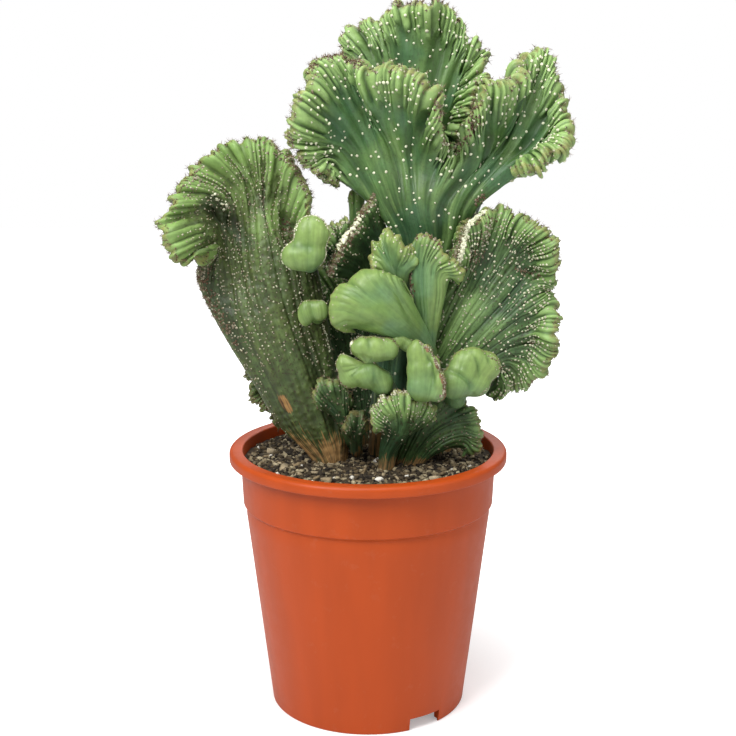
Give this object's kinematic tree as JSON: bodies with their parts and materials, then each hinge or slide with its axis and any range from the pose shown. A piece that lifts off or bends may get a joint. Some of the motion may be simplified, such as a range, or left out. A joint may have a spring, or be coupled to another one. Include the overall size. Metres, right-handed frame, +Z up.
{
  "type": "potted live plant",
  "caption": "Crested blue myrtle cactus with fan-shaped and pad-shaped stems, growing from soil in a round tapered plastic nursery pot.",
  "frame": {"origin": "on the pot's axis at the height of its foot", "axes": "+Z up along the pot's axis, -Y towards the front of the plant"},
  "size_m": [0.2927, 0.21, 0.5271],
  "materials": {
    "moulded_pot": "satin moulded terracotta-coloured plastic",
    "peat_soil": "loose peat and grit, matt",
    "crested_stem": "waxy green plant skin with pale spine cushions",
    "smooth_pad": "smooth waxy light green plant skin",
    "bark": "rough bark",
    "perlite": "rough white expanded grain"
  },
  "bodies": {
    "root": {"nursery_pot": "moulded_pot", "potting_soil": "peat_soil", "top_front_crest": "crested_stem", "left_crest": "crested_stem", "right_crest": "crested_stem", "top_rear_crest": "crested_stem", "lower_right_fan": "crested_stem", "middle_fan": "crested_stem", "edge_fan": "crested_stem", "curled_knob": "crested_stem", "small_upper_crest": "crested_stem", "narrow_sprig": "crested_stem", "low_ribbed_crest": "crested_stem", "low_bud": "crested_stem", "low_left_lobe": "crested_stem", "low_left_knob": "crested_stem", "left_stub": "crested_stem", "margin_bud": "crested_stem", "back_fan": "crested_stem", "back_neck_bud": "crested_stem", "back_low_crest": "crested_stem", "centre_pad": "smooth_pad", "round_pad": "smooth_pad", "lobed_pad": "smooth_pad", "scarred_pad": "smooth_pad", "right_pad": "smooth_pad", "back_left_pad": "smooth_pad", "back_right_pad": "smooth_pad", "bark_chip_1": "bark", "bark_chip_2": "bark", "bark_chip_3": "bark", "bark_chip_4": "bark", "bark_chip_5": "bark", "bark_chip_6": "bark", "perlite_grain_1": "perlite", "perlite_grain_2": "perlite", "perlite_grain_3": "perlite", "perlite_grain_4": "perlite"}
  },
  "joints": []
}
